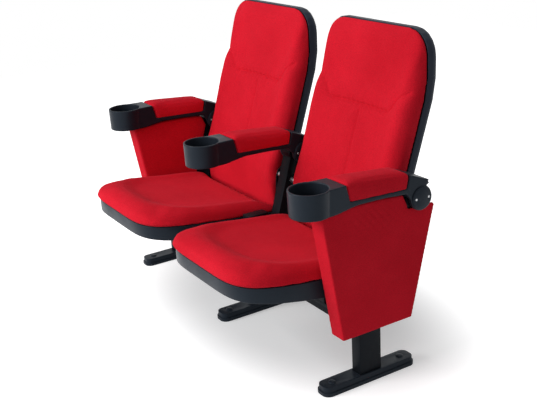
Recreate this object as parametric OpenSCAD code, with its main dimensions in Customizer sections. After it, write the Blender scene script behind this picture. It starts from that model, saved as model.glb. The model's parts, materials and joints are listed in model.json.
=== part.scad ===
// A joined pair of cinema seats: three floor standards, three lifting arms with
// cup holders, two seats that slide forward and two backs that recline with them.
// Lengths are in millimetres. Z is up, the seats face -Y and +X is to the right
// of the row. All sizes along Y are measured from the cup holder axis; the whole
// row is moved at the end so that its plan centre is at the origin.

/* [Row] */
// Distance between the middles of two neighbouring arms
pitch = 580; // [540:1:640]
// Gap between faces that run past each other
run_gap = 0.4; // [0.2:0.1:1]

/* [Feet and columns] */
// Width of a foot cover
foot_w = 60; // [50:1:80]
// Front end of a foot
foot_y0 = 12; // [-30:1:40]
// Rear end of a foot
foot_y1 = 336; // [300:1:380]
// Height of a foot cover
foot_h = 27; // [20:1:40]
// Height of the flange round a foot cover
foot_lip_h = 11; // [6:1:16]
// How far the raised part of a foot cover stands in from its flange
foot_step = 4; // [2:0.5:8]
// Corner radius of a foot in plan
foot_r = 23; // [12:1:29]
// Wall of a foot cover
foot_wall = 3; // [2:0.5:4]
// Thickness of the steel foot plate
plate_t = 6; // [4:1:10]
// Distance between the two anchor holes of a foot
anchor_span = 244; // [220:1:270]
// Radius of an anchor hole
anchor_hole_r = 5.5; // [4:0.5:8]
// Radius of the bore of an anchor nut
nut_bore_r = 5.2; // [4:0.1:7]
// Radius of an anchor nut over its corners
nut_r = 9.2; // [7:0.1:10]
// Height of an anchor nut
nut_h = 8; // [4:0.5:9]
// Radius of the washer under an anchor nut
washer_r = 10.5; // [8:0.5:12]
// Thickness of that washer
washer_t = 2; // [1:0.5:3]
// Radius of the plug over an anchor
plug_r = 11.5; // [9:0.5:14]
// Height of the plug over the foot cover
plug_rise = 3; // [1:0.5:6]
// Width of a column across the row
column_w = 40; // [30:1:50]
// Depth of a column along Y
column_d = 75; // [60:1:90]
// Front face of a column
column_y0 = 138; // [110:1:150]
// Wall of a column tube
column_wall = 3; // [2:0.5:5]
// Top of a column
column_top = 338; // [300:1:345]

/* [Posts and beams] */
// Width of a post across the row
post_w = 44; // [36:1:46]
// Depth of a post along Y
post_d = 62; // [40:1:64]
// Lean of a post to the rear, in degrees
post_lean = 17; // [12:0.5:22]
// Lower end of a post
post_z0 = 252; // [240:1:270]
// Height of the knee that joins a post to its column
knee_h = 60; // [40:1:70]
// Side of a square beam
beam_s = 30; // [25:1:40]
// Underside of the beams
beam_z = 186; // [170:1:200]
// Wall of a beam tube
beam_wall = 2.5; // [2:0.5:4]
// Radius of a beam bolt shank
beam_bolt_r = 4; // [3:0.5:5]
// Radius of a beam bolt head
beam_head_r = 7; // [5.5:0.5:9]
// Height of a beam bolt head
beam_head_h = 5; // [3:0.5:7]

/* [End panels] */
// Thickness of an end panel
panel_t = 58; // [50:1:66]
// Underside of an end panel
panel_z0 = 158; // [120:1:200]
// Top of an end panel
panel_z1 = 538; // [520:1:546]
// Front edge of an end panel at its top
panel_front_top = 16; // [0:1:50]
// Front edge of an end panel at its underside
panel_front_low = 76; // [30:1:100]
// Rear edge of an end panel at its underside
panel_rear_low = 320; // [290:1:350]
// Rear edge of an end panel at its rear corner
panel_rear_top = 403; // [380:1:430]
// Height of the rear corner of an end panel
panel_rear_z = 494; // [470:1:510]
// Cloth and foam over the face of a board
skin_t = 2.5; // [2:0.5:5]
// How far a board stands in from the edge of its panel
board_inset = 8; // [4:1:16]

/* [Arms] */
// Outer radius of a cup holder at its rim
cup_r = 57.5; // [52:0.5:62]
// Outer radius of a cup holder at its base
cup_low_r = 56; // [50:0.5:61]
// Radius of the cup hole
cup_hole_r = 52; // [42:0.5:54]
// Radius of the cup hole at its floor
cup_floor_r = 49; // [38:0.5:52]
// Height of the cup holder rim above the floor
cup_top = 617; // [600:1:650]
// Depth of the cup hole
cup_depth = 64; // [50:1:68]
// Underside of an arm
arm_z0 = 543.5; // [540:0.5:560]
// How far the underside of an arm arches up behind the cup holder
arm_arch = 9; // [0:0.5:12]
// Half width of an arm
arm_hw = 43; // [38:0.5:46]
// Half width of the shoulder where it leaves the cup holder
shoulder_hw = 50; // [44:0.5:55]
// Top of the shoulder where it meets the pad
shoulder_top = 616; // [600:1:630]
// Front end of the pad at its top
pad_front_top = 88; // [80:1:110]
// Front end of the pad at its base
pad_front_low = 100; // [85:1:120]
// Top of the rail at its front
rail_front = 568; // [560:1:585]
// Top of the rail at its rear
rail_rear = 559; // [553:0.5:570]
// Rear end of the pad at its base
pad_rear_low = 294; // [280:1:305]
// Rear end of the pad at its top
pad_rear_top = 303; // [290:1:320]
// Height of the side edge of the pad at its rear
pad_rear_h = 597; // [580:1:605]
// Crown of the pad above its side edges
pad_crown = 9; // [4:0.5:14]
// Half width of the pad
pad_hw = 44; // [38:0.5:46]
// Thickness of the board in a pad
pad_board_t = 8; // [5:0.5:12]

/* [Arm hubs] */
// Hub axis along Y
hub_y = 344; // [330:1:360]
// Hub axis height
hub_z = 522; // [515:1:530]
// Radius of the lobe round the hub
lobe_r = 36.5; // [34:0.5:41]
// Inner half width between the two cheeks
cheek_in = 30.5; // [28:0.5:34]
// Outer radius of the cover over the hub
cover_r = 55; // [50:0.5:57]
// Inner radius of the cover over the hub
cover_in_r = 41.5; // [40:0.5:44]
// Half width of the rear of the cover
cover_hw = 21; // [16:0.5:22]
// Radius of the round top of a post
post_top_r = 39.5; // [36:0.5:41]
// Radius of a hub pin
hub_pin_r = 10; // [8:0.5:12]
// Radius of the collar on a hub pin
hub_collar_r = 16; // [13:0.5:18]
// Running clearance of a pin in its bore
pin_play = 0.05; // [0.03:0.01:0.09]
// Radius of a hub cap
cap_r = 33.5; // [30:0.5:38]
// Thickness of a hub cap
cap_t = 4.5; // [3:0.5:6]
// Distance of a cap screw from the hub axis
cap_screw_at = 22; // [18:0.5:26]
// Radius of a cap screw head
cap_head_r = 3.5; // [2.5:0.5:5]
// Radius of a cap screw shank
cap_screw_r = 2; // [1.5:0.5:3]
// Height of a cap screw head
cap_head_h = 1.8; // [1:0.2:3]

/* [Seats] */
// Clear gap between a seat and the end panel beside it
seat_gap = 5; // [3:0.5:12]
// How far the seat front stands ahead of the cup holder axis
seat_front = 188; // [170:1:210]
// Rear edge of a seat
seat_rear = 278; // [250:1:280]
// Reach of the bow of the seat front
seat_bow = 577; // [520:1:640]
// Height of the line between cushion and pan at the front
seat_line = 350; // [330:1:380]
// Slope of the seat to the rear, in degrees
seat_slope = 5.1; // [3:0.1:8]
// Depth of the pan rim at the front
pan_front_h = 42; // [35:1:55]
// Slope of the lower edge of the pan, in degrees
pan_slope = 8.4; // [4:0.1:9]
// Wall of the pan
pan_wall = 4; // [3:0.5:6]
// Crown of the seat cushion at its front
cushion_front_h = 50; // [40:1:65]
// Crown of the seat cushion at its rear
cushion_rear_h = 29; // [20:1:30]
// How far the front of the seat cushion bulges out over the pan
cushion_out = 11; // [0:1:18]

/* [Slides] */
// Distance of a rail from the middle of its seat
rail_x = 170; // [140:1:190]
// Width of a runner
runner_w = 24; // [18:1:30]
// Height of a runner
runner_h = 20; // [14:1:24]
// Wall of a rail
rail_wall = 3; // [2:0.5:4]
// Front end of a rail behind the seat front
rail_y0 = 102; // [80:1:140]
// Length of a rail
rail_l = 320; // [280:1:340]
// Front end of a runner behind the seat front
runner_y0 = 112; // [80:1:150]
// Length of a runner
runner_l = 336; // [300:1:350]
// Width of a cross bar of the carriage
bar_w = 24; // [16:1:30]
// Distance of a lug from the middle of its seat
lug_x = 142; // [110:1:150]
// Thickness of a lug
lug_t = 6; // [4:1:8]

/* [Backs] */
// Half width of a back
back_hw = 228; // [215:1:229]
// Top of a back
back_top = 957; // [900:1:1000]
// Underside of a back, behind the rear edge of the seat
back_low = 290; // [286:1:300]
// Gap between the rear edge of a seat and the foot of its back
foot_gap = 4; // [3:0.5:10]
// Height below which the back cushion thins towards its foot
foot_z = 430; // [400:1:480]
// Corner radius at the top of a back
back_top_r = 72; // [50:1:100]
// Corner radius at the foot of a back
back_low_r = 28; // [16:1:60]
// Y of the line between cushion and shell at the bend
bend_y = 443; // [440:1:470]
// Height of the bend of the back
bend_z = 745; // [700:1:760]
// Height over which the back bends upright
bend_h = 90; // [60:1:120]
// Lean of the back below the bend, in degrees
back_lean = 18.3; // [15:0.1:22]
// Depth of the shell behind the cushion
shell_d = 40; // [34:1:50]
// Wall of the shell
shell_wall = 4; // [3:0.5:6]
// Depth of the back cushion at its foot
back_depth = 70; // [50:1:80]
// Depth of the back cushion at its top
back_depth_top = 12; // [8:1:30]
// Height where the back cushion starts to thin
thin_z = 740; // [640:1:780]
// Depth of the hollow in the middle of the back cushion
back_hollow = 32; // [8:1:40]

/* [Back frames] */
// Back pivot along Y
pivot_y = 312; // [308:1:322]
// Back pivot height
pivot_z = 430; // [420:1:445]
// Radius of a back pivot pin
pivot_r = 8; // [6:0.5:10]
// Radius of the shoulder of a back pivot pin
pivot_shoulder_r = 12; // [10:0.5:14]
// Thickness of the head of a back pivot pin
pin_head_t = 3; // [2:0.5:3.5]
// Inner face of a bracket, from the middle of the arm
bracket_x = 51; // [49:0.5:53]
// Thickness of a bracket
bracket_t = 5; // [4:0.5:6]
// Distance of the link rod from the pivot
link_r = 190; // [170:1:200]
// Radius of the link rod
rod_r = 6; // [5:0.5:8]
// Side of a frame tube
tube_s = 18; // [14:1:22]
// Distance of an upright from the middle of the back
upright_x = 190; // [160:1:200]
// Height of the lower cross tube
low_tube_z = 372; // [360:1:400]
// Height of the stubs through the shell
stub_z = 476; // [465:1:490]
// Height of the upper cross tube
high_tube_z = 700; // [640:1:720]
// Recline of a back, in degrees
recline = 12; // [8:0.5:12]

/* [Colours] */
cloth = "#C41228";
moulding = "#1B1E24";
steel = "#22252B";
zinc = "#A9ADB2";
ply = "#B58A58";

/* [Hidden] */
$fn = 64;
side_l = -pitch;
side_r = pitch;
half = pitch / 2;
// One overrun for every cut, a small share of the pitch
over = pitch / 290;
// The row's plan centre, from the seat front to the rear of the backs
rear_y = bend_y + tan(back_lean) * bend_h / 2 + shell_d;
mid_y = (rear_y - seat_front - cushion_out) / 2;
// Shares used by the outlines
bow_power = 5.6;
seat_steps = 15;
// Foot
foot_mid = (foot_y0 + foot_y1) / 2;
foot_len = foot_y1 - foot_y0;
plate_w = foot_w - 2 * (foot_step + foot_wall + run_gap);
plate_len = foot_len - 2 * (foot_step + foot_wall + run_gap);
// Post: its front edge runs through the point below the hub
post_mid_y = hub_y;
post_dy = tan(post_lean);
column_y1 = column_y0 + column_d;
panel_hw = panel_t / 2;
// A seat fills the space between two arms but for half a panel and a gap each side
seat_hw = half - panel_hw - seat_gap;
// Cheeks and pad
cap_x = arm_hw;
pin_half = arm_hw - run_gap;
cheek_gap = cheek_in - run_gap;
// Seat frame: origin on the seat line at the front, local Y runs down the slope
slope_t = tan(seat_slope);
// Pivot and link rod
lean_t = tan(back_lean);
rod_y = pivot_y - link_r * sin(seat_slope);
rod_z = pivot_z - link_r * cos(seat_slope);
head_x = bracket_x + bracket_t + run_gap;

// Shared helpers

module at_x(x) translate([x, -mid_y, 0]) children();

// A polygon in Y and Z pushed along X, from x0 to x1
module prism_x(points, x0, x1)
    translate([x0, 0, 0]) rotate([90, 0, 90])
        linear_extrude(x1 - x0) polygon(points);

module rod_x(r, y, z, x0, x1)
    translate([x0, y, z]) rotate([0, 90, 0]) cylinder(r = r, h = x1 - x0);

module rounded_plate(w, y0, y1, r, z0, z1)
    translate([0, 0, z0]) linear_extrude(z1 - z0) union() {
        translate([-w / 2, y0 + r]) square([w, y1 - y0 - 2 * r]);
        translate([-w / 2 + r, y0]) square([w - 2 * r, y1 - y0]);
        for (sx = [-1, 1], e = [0, 1])
            translate([sx * (w / 2 - r), e == 0 ? y0 + r : y1 - r]) circle(r);
    }

// A closed skin over a stack of loops, with a fan of triangles at each end
function mean(l, k = 0) = k == len(l) ? [0, 0, 0] : l[k] / len(l) + mean(l, k + 1);
module loft(loops) {
    n = len(loops[0]);
    m = len(loops);
    points = concat([for (l = loops, p = l) p], [mean(loops[0]), mean(loops[m - 1])]);
    sides = [for (j = [0:m - 2], i = [0:n - 1], k = [0, 1])
        k == 0 ? [j * n + i, (j + 1) * n + (i + 1) % n, j * n + (i + 1) % n]
               : [j * n + i, (j + 1) * n + i, (j + 1) * n + (i + 1) % n]];
    first = [for (i = [0:n - 1]) [i, (i + 1) % n, m * n]];
    last = [for (i = [0:n - 1]) [(m - 1) * n + (i + 1) % n, (m - 1) * n + i, m * n + 1]];
    polyhedron(points, concat(sides, first, last), convexity = 6);
}

function lerp(a, b, t) = a + (b - a) * t;

// Feet, columns and posts

module foot_plate() difference() {
    rounded_plate(plate_w, foot_mid - plate_len / 2, foot_mid + plate_len / 2,
        foot_r - foot_step - foot_wall, 0, plate_t);
    for (e = [-1, 1]) translate([0, foot_mid + e * anchor_span / 2, -over])
        cylinder(r = anchor_hole_r, h = plate_t + 2 * over);
}

module foot_cover() difference() {
    union() {
        rounded_plate(foot_w, foot_y0, foot_y1, foot_r, 0, foot_lip_h);
        rounded_plate(foot_w - 2 * foot_step, foot_y0 + foot_step, foot_y1 - foot_step,
            foot_r - foot_step, 0, foot_h);
    }
    translate([0, 0, -over]) rounded_plate(foot_w - 2 * (foot_step + foot_wall),
        foot_y0 + foot_step + foot_wall, foot_y1 - foot_step - foot_wall,
        foot_r - foot_step - foot_wall, 0, foot_h - foot_wall + over);
    translate([-column_w / 2 - run_gap, column_y0 - run_gap, 0])
        cube([column_w + 2 * run_gap, column_d + 2 * run_gap, foot_h + over]);
    for (e = [-1, 1]) translate([0, foot_mid + e * anchor_span / 2, 0])
        cylinder(r = plug_r - plug_rise / 2, h = foot_h + over);
}

// A nut with its washer; the stud that they hold belongs to the floor
module anchor_nut() translate([0, 0, plate_t]) difference() {
    union() {
        cylinder(r = washer_r, h = washer_t);
        translate([0, 0, washer_t]) cylinder(r = nut_r, h = nut_h, $fn = 6);
    }
    translate([0, 0, -over]) cylinder(r = nut_bore_r, h = washer_t + nut_h + 2 * over);
}

module plug() {
    translate([0, 0, foot_h]) cylinder(r1 = plug_r, r2 = plug_r - plug_rise / 2,
        h = plug_rise);
    translate([0, 0, foot_h - foot_wall])
        cylinder(r = plug_r - plug_rise / 2 - run_gap, h = foot_wall + plug_rise / 2);
}

module column() translate([-column_w / 2, column_y0, plate_t]) difference() {
    cube([column_w, column_d, column_top - plate_t]);
    translate([column_wall, column_wall, -over])
        cube([column_w - 2 * column_wall, column_d - 2 * column_wall,
            column_top - plate_t - column_wall + over]);
}

// Front edge of a post at a height
function post_front(z) = post_mid_y - post_d / 2 - post_dy * (hub_z - z);

module post() difference() {
    union() {
        prism_x([[post_front(post_z0), post_z0], [post_front(post_z0) + post_d, post_z0],
            [post_front(hub_z) + post_d, hub_z], [post_front(hub_z), hub_z]],
            -post_w / 2, post_w / 2);
        rod_x(post_top_r, hub_y, hub_z, -post_w / 2, post_w / 2);
        prism_x([[column_y1, post_z0], [post_front(post_z0) + post_d / 2, post_z0],
            [post_front(post_z0 + knee_h) + post_d / 2, post_z0 + knee_h],
            [column_y1, post_z0 + knee_h]], -column_w / 2, column_w / 2);
    }
    rod_x(hub_pin_r, hub_y, hub_z, -post_w / 2 - over, post_w / 2 + over);
    rod_x(pivot_r, pivot_y, pivot_z, -post_w / 2 - over, post_w / 2 + over);
}

module beam(y) translate([-pitch - column_w / 2, y, beam_z]) difference() {
    cube([2 * pitch + column_w, beam_s, beam_s]);
    translate([-over, beam_wall, beam_wall])
        cube([2 * pitch + column_w + 2 * over, beam_s - 2 * beam_wall,
            beam_s - 2 * beam_wall]);
    for (s = [-1, 0, 1]) translate([pitch + column_w / 2 + s * pitch, -over, beam_s / 2])
        rotate([-90, 0, 0]) cylinder(r = beam_bolt_r + run_gap, h = beam_s + 2 * over);
}

module beam_bolt() {
    translate([0, column_y0 - beam_s - beam_head_h, beam_z + beam_s / 2])
        rotate([-90, 0, 0]) {
            cylinder(r = beam_head_r, h = beam_head_h, $fn = 6);
            cylinder(r = beam_bolt_r, h = beam_s + beam_head_h);
        }
    translate([0, column_y1 + beam_s + beam_head_h, beam_z + beam_s / 2])
        rotate([90, 0, 0]) {
            cylinder(r = beam_head_r, h = beam_head_h, $fn = 6);
            cylinder(r = beam_bolt_r, h = beam_s + beam_head_h);
        }
}

// End panels

panel_corner = board_inset;
// Below this height a panel may follow the post; above it keeps clear of the hub
arm_clear_z = hub_z - post_top_r / 2;
// The arch under an arm, from front to rear; the top of an end panel follows it
arch_shares = [[0.15, 1], [0.6, 0.75]];
function arch(z) = [for (s = arch_shares)
    [pad_front_low + (pad_rear_low - pad_front_low) * s[0], z + arm_arch * s[1]]];
function end_outline(inset) = [
    [cup_r, panel_z1 - inset],
    [panel_front_top + inset, panel_z1 - inset],
    [panel_front_low + inset, panel_z0 + inset],
    [panel_rear_low - inset, panel_z0 + inset],
    [panel_rear_top - inset, panel_rear_z - panel_corner - inset],
    [panel_rear_top - panel_corner / 3 - inset, panel_rear_z - panel_corner / 3 - inset],
    [panel_rear_top - panel_corner - inset, panel_rear_z - inset],
    [post_front(panel_rear_z) - run_gap, panel_rear_z - inset],
    [post_front(arm_clear_z) - run_gap - inset, arm_clear_z],
    [pad_rear_low - 2 * over - inset, panel_z1 - inset],
    arch(panel_z1 - inset)[1], arch(panel_z1 - inset)[0]];

// The steelwork that an end panel reaches round, with the gap that it keeps
module panel_pocket() {
    g = run_gap;
    translate([-column_w / 2 - g, column_y0 - g, panel_z0 - over])
        cube([column_w + 2 * g, column_d + 2 * g, column_top - panel_z0 + g + over]);
    for (y = [column_y0 - beam_s, column_y1]) {
        translate([-panel_t, y - g, beam_z - g])
            cube([panel_t + column_w / 2 + g, beam_s + 2 * g, beam_s + 2 * g]);
    }
    translate([-beam_head_r - g, column_y0 - beam_s - beam_head_h - g,
        beam_z + beam_s / 2 - beam_head_r - g])
        cube([2 * (beam_head_r + g), column_d + 2 * (beam_s + beam_head_h + g),
            2 * (beam_head_r + g)]);
    prism_x([[post_front(post_z0 - 2 * g) - g, post_z0 - 2 * g],
        [panel_rear_top + over, post_z0 - 2 * g], [panel_rear_top + over, panel_z1],
        [post_front(panel_z1) - g, panel_z1]], -panel_t, post_w / 2 + g);
    prism_x([[column_y1 - over, post_z0 - g], [panel_rear_top, post_z0 - g],
        [panel_rear_top, post_z0 + knee_h + g], [column_y1 - over, post_z0 + knee_h + g]],
        -column_w / 2 - g, column_w / 2 + g);
}

module end_panel_board() difference() {
    prism_x(end_outline(board_inset), post_w / 2 + run_gap, panel_hw - skin_t);
    rod_x(cover_r, hub_y, hub_z, -panel_t, panel_t);
}

module end_panel_cover() difference() {
    prism_x(end_outline(0), -panel_hw, panel_hw);
    panel_pocket();
    prism_x(end_outline(board_inset), post_w / 2 + run_gap, panel_hw - skin_t);
}

// Arms

cup_mid = (cup_top + arm_z0) / 2;

module arm_body() difference() {
    union() {
        translate([0, 0, arm_z0 + run_gap])
            cylinder(r1 = cup_low_r, r2 = cup_r, h = cup_top - arm_z0 - run_gap);
        intersection() {
            translate([0, 0, arm_z0]) linear_extrude(cup_top - arm_z0)
                polygon([[-shoulder_hw, 0], [shoulder_hw, 0],
                    [arm_hw, pad_front_low], [arm_hw, pad_rear_low],
                    [-arm_hw, pad_rear_low], [-arm_hw, pad_front_low]]);
            prism_x(concat([[0, arm_z0], [cup_r, arm_z0]], arch(arm_z0),
                [[pad_rear_low + over, arm_z0],
                [pad_rear_low + over, rail_z(pad_rear_low + over)],
                [pad_front_low, rail_front],
                [pad_front_top, shoulder_top], [cup_hole_r / 2, cup_top], [0, cup_top]]),
                -shoulder_hw, shoulder_hw);
        }
        // Knuckle behind the pad, over the full width of the arm
        prism_x([[pad_rear_low - over, arm_z0],
            [pad_rear_low - over, rail_z(pad_rear_low - over)],
            [pad_rear_low, rail_rear], [pad_rear_top, pad_rear_h],
            [hub_y + cover_r * cos(60), hub_z + cover_r * sin(60)],
            [hub_y + cover_in_r * cos(60), hub_z + cover_in_r * sin(60)],
            [hub_y, hub_z + cover_in_r],
            [hub_y - cover_in_r * cos(40), hub_z + cover_in_r * sin(40)]],
            -arm_hw, arm_hw);
        intersection() {
            rod_x(cover_r, hub_y, hub_z, -arm_hw, arm_hw);
            prism_x([[hub_y - lobe_r, hub_z], [hub_y, hub_z],
                [hub_y + pad_hw * 2 * cos(60), hub_z + pad_hw * 2 * sin(60)],
                [hub_y - lobe_r, hub_z + pad_hw * 2]], -arm_hw, arm_hw);
        }
        // Narrow rear of the cover
        intersection() {
            rod_x(cover_r, hub_y, hub_z, -cover_hw, cover_hw);
            prism_x([[hub_y, hub_z], [hub_y + pad_hw * 2 * cos(30), hub_z + pad_hw * 2 * sin(30)],
                [hub_y + pad_hw * 2 * cos(65), hub_z + pad_hw * 2 * sin(65)]],
                -arm_hw, arm_hw);
        }
        // Lobes of the two cheeks
        rod_x(lobe_r, hub_y, hub_z, -arm_hw, arm_hw);
        prism_x([[pad_rear_low - over, arm_z0], [hub_y - lobe_r, hub_z],
            [hub_y, hub_z], [hub_y, hub_z + cover_in_r], [pad_rear_low, rail_rear],
            [pad_rear_low - over, rail_z(pad_rear_low - over)]],
            -arm_hw, arm_hw);
    }
    // Cup hole
    translate([0, 0, cup_top - cup_depth])
        cylinder(r1 = cup_floor_r, r2 = cup_hole_r, h = cup_depth);
    translate([0, 0, cup_top - over / 4]) cylinder(r = cup_hole_r, h = 2 * over);
    // Space between the cheeks for the round top of the post
    rod_x(cover_in_r, hub_y, hub_z, -cheek_in, cheek_in);
    rod_x(hub_pin_r + pin_play, hub_y, hub_z, -arm_hw - over, arm_hw + over);
    for (s = [-1, 1], e = [-1, 1])
        rod_x(cap_screw_r, hub_y + e * cap_screw_at, hub_z,
            s > 0 ? arm_hw - cap_t * 2 : -arm_hw - over,
            s > 0 ? arm_hw + over : -arm_hw + cap_t * 2);
}

// Height of the rail under the pad
function rail_z(y) = lerp(rail_front, rail_rear,
    (y - pad_front_low) / (pad_rear_low - pad_front_low));

// The pad rests on the rail with a hair of air between them
pad_lift = run_gap / 4;
pad_board_y0 = pad_front_low + pad_board_t;
pad_board_y1 = pad_rear_low - pad_board_t;
module pad_board() translate([0, 0, pad_lift])
    prism_x([[pad_board_y0, rail_z(pad_board_y0)],
        [pad_board_y1, rail_z(pad_board_y1)],
        [pad_board_y1, rail_z(pad_board_y1) + pad_board_t],
        [pad_board_y0, rail_z(pad_board_y0) + pad_board_t]],
        -pad_hw + pad_board_t, pad_hw - pad_board_t);

// Plan of the pad as shares: [across, along] on a rounded rectangle
pad_corner_x_share = 0.22;
pad_corner_y_share = 0.05;
function pad_plan() = [for (q = [0:3], k = [0:4])
    let (a = q * 90 + k * 22.5, cx = q == 0 || q == 3 ? 1 : -1, cy = q < 2 ? 1 : -1)
    [cx * (1 - pad_corner_x_share) + pad_corner_x_share * cos(a),
     0.5 + cy * (0.5 - pad_corner_y_share) + pad_corner_y_share * sin(a)]];
// Shares of inset, height and crown for the loops of the pad
pad_shares = [[0, 0, 0], [-0.012, 0.4, 0], [0, 0.8, 0], [0.03, 0.97, 0.05],
    [0.1, 1, 0.35], [0.3, 1, 0.75], [0.6, 1, 0.95], [0.85, 1, 1]];
function pad_loop(s) = [for (p = pad_plan())
    let (v = 0.5 + (p[1] - 0.5) * (1 - max(s[0], 0) * 0.5),
         y0 = lerp(pad_front_low, pad_front_top, s[1]) + run_gap,
         y1 = lerp(pad_rear_low, pad_rear_top, s[1]) - run_gap,
         y = lerp(y0, y1, v),
         zl = lerp(rail_front, rail_rear, v), zt = lerp(shoulder_top, pad_rear_h, v))
    [p[0] * pad_hw * (1 - s[0]), y, lerp(zl, zt, s[1]) + pad_crown * s[2] + pad_lift]];

module pad_cover() difference() {
    loft([for (s = pad_shares) pad_loop(s)]);
    pad_board();
}

// Hubs

module hub_pin() {
    rod_x(hub_pin_r, hub_y, hub_z, -pin_half, pin_half);
    for (s = [-1, 1]) rod_x(hub_collar_r, hub_y, hub_z,
        s > 0 ? post_w / 2 : -cheek_gap, s > 0 ? cheek_gap : -post_w / 2);
}

module hub_caps() for (s = [-1, 1]) difference() {
    translate([s * cap_x, hub_y, hub_z]) rotate([0, s * 90, 0]) {
        cylinder(r = cap_r, h = cap_t * 0.6);
        translate([0, 0, cap_t * 0.6]) cylinder(r1 = cap_r, r2 = cap_r - cap_t, h = cap_t * 0.4);
    }
    for (e = [-1, 1]) rod_x(cap_screw_r, hub_y + e * cap_screw_at, hub_z,
        s > 0 ? cap_x - over : -cap_x - cap_t - over, s > 0 ? cap_x + cap_t + over : -cap_x + over);
}

module cap_screws() for (s = [-1, 1], e = [-1, 1])
    translate([s * cap_x, hub_y + e * cap_screw_at, hub_z]) rotate([0, s * 90, 0]) {
        translate([0, 0, -cap_t * 1.6]) cylinder(r = cap_screw_r, h = cap_t * 2.6 + cap_head_h / 2);
        translate([0, 0, cap_t]) cylinder(r1 = cap_head_r, r2 = cap_head_r * 0.6, h = cap_head_h);
    }

// Seats: outline as a bowed front that runs into nearly straight sides

function bow_y(t) = seat_bow * (1 - pow(1 - pow(abs(t), bow_power), 1 / bow_power)) - seat_front;
function bow_t(y) = pow(1 - pow(1 - (y + seat_front) / seat_bow, bow_power), 1 / bow_power);
// The share of the half width at step k, closer together towards the side
function seat_t(k) = sin(90 * k / seat_steps) * bow_t(seat_rear);
seat_half = [for (k = [0:seat_steps]) [seat_t(k) * seat_hw, bow_y(seat_t(k))]];
seat_plan = concat([for (k = [seat_steps:-1:1]) [-seat_half[k][0], seat_half[k][1]]],
    seat_half);
seat_back_steps = 4;
// The whole loop, with points along the rear edge
seat_loop = concat(seat_plan, [for (k = [1:seat_back_steps])
    [seat_half[seat_steps][0] * (1 - 2 * k / (seat_back_steps + 1)), seat_rear]]);

// Height of the seat line and of the pan's lower edge along Y
function line_z(y) = seat_line - slope_t * (y + seat_front);
function pan_z(y) = seat_line - pan_front_h - tan(pan_slope) * (y + seat_front);

module plan_prism(inset) linear_extrude(seat_line + cushion_front_h) polygon(
    [for (p = seat_plan) [p[0] * (1 - inset / seat_hw), p[1] + inset * (1 - (p[1] + seat_front)
        / (seat_rear + seat_front))]]);

module seat_pan() difference() {
    intersection() {
        plan_prism(0);
        prism_x([[-seat_front - over, pan_z(-seat_front - over)],
            [seat_rear + over, pan_z(seat_rear + over)],
            [seat_rear + over, line_z(seat_rear + over)],
            [-seat_front - over, line_z(-seat_front - over)]], -seat_hw, seat_hw);
    }
    intersection() {
        plan_prism(pan_wall);
        prism_x([[-seat_front - over, pan_z(-seat_front) - pan_front_h],
            [seat_rear + over, pan_z(seat_rear) - pan_front_h],
            [seat_rear + over, line_z(seat_rear + over) - pan_wall],
            [-seat_front - over, line_z(-seat_front - over) - pan_wall]], -seat_hw, seat_hw);
    }
}

// Shares of inset, height and bulge for the loops of the seat cushion
seat_shares = [[0.012, 0, 0.1], [0, 0.2, 0.75], [0, 0.5, 1], [0.02, 0.78, 0.8], [0.06, 0.93, 0.4],
    [0.13, 1, 0.1], [0.25, 0.97, 0], [0.42, 0.88, 0], [0.62, 0.83, 0], [0.84, 0.82, 0]];
seat_mid_y = (seat_rear - seat_front) / 2;
cushion_lift = run_gap / 4;
// Share of the bulge along Y: whole at the front, none beside the panels
function bulge(y) = max(0, (panel_front_top - y) / (panel_front_top + seat_front));
function seat_level(s) = [for (p = seat_loop)
    let (y = seat_mid_y + (p[1] - seat_mid_y) * (1 - s[0]),
         x = p[0] * (1 - s[0]) * (1 + bulge(p[1]) * s[2] * cushion_out / seat_hw),
         h = lerp(cushion_front_h, cushion_rear_h, (y + seat_front) / (seat_rear + seat_front)))
    [x, y - bulge(p[1]) * s[2] * cushion_out, line_z(y) + cushion_lift + h * s[1]]];

module seat_cushion() loft([for (s = seat_shares) seat_level(s)]);

// Local frame of the slide: Y runs down the slope from the seat front
module slide_frame() translate([0, -seat_front, seat_line]) rotate([-seat_slope, 0, 0])
    children();

pivot_local_y = (pivot_y + seat_front) * cos(seat_slope) - (pivot_z - seat_line) * sin(seat_slope);
pivot_local_z = (pivot_y + seat_front) * sin(seat_slope) + (pivot_z - seat_line) * cos(seat_slope);
rod_local_z = pivot_local_z - link_r;
runner_top = -pan_wall / cos(seat_slope);
lug_half = rod_r * 3;
rod_rise = link_r * (1 - cos(recline)) + 2 * run_gap;

module carriage() slide_frame() {
    for (s = [-1, 1]) translate([s * rail_x - runner_w / 2, runner_y0, runner_top - runner_h])
        cube([runner_w, runner_l, runner_h]);
    for (y = [runner_y0 + bar_w, runner_y0 + runner_l - bar_w])
        translate([-rail_x, y - bar_w / 2, runner_top - rail_wall])
            cube([2 * rail_x, bar_w, rail_wall]);
    for (s = [-1, 1]) difference() {
        prism_x([[runner_y0 + runner_l - bar_w * 2, runner_top - rail_wall],
            [runner_y0 + runner_l - bar_w / 2, runner_top - rail_wall],
            [pivot_local_y + lug_half, rod_local_z + rod_rise + lug_half],
            [pivot_local_y + lug_half, rod_local_z - lug_half],
            [pivot_local_y - lug_half, rod_local_z - lug_half],
            [runner_y0 + runner_l - bar_w * 2, runner_top - runner_h]],
            s * lug_x - lug_t / 2, s * lug_x + lug_t / 2);
        // Slot for the link rod, as high as the rod rises when the back reclines
        for (z = [rod_local_z, rod_local_z + rod_rise])
            rod_x(rod_r + 2 * run_gap, pivot_local_y, z,
                s * lug_x - lug_t, s * lug_x + lug_t);
        translate([s * lug_x - lug_t, pivot_local_y - rod_r - 2 * run_gap, rod_local_z])
            cube([2 * lug_t, 2 * (rod_r + 2 * run_gap), rod_rise]);
    }
}

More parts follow.
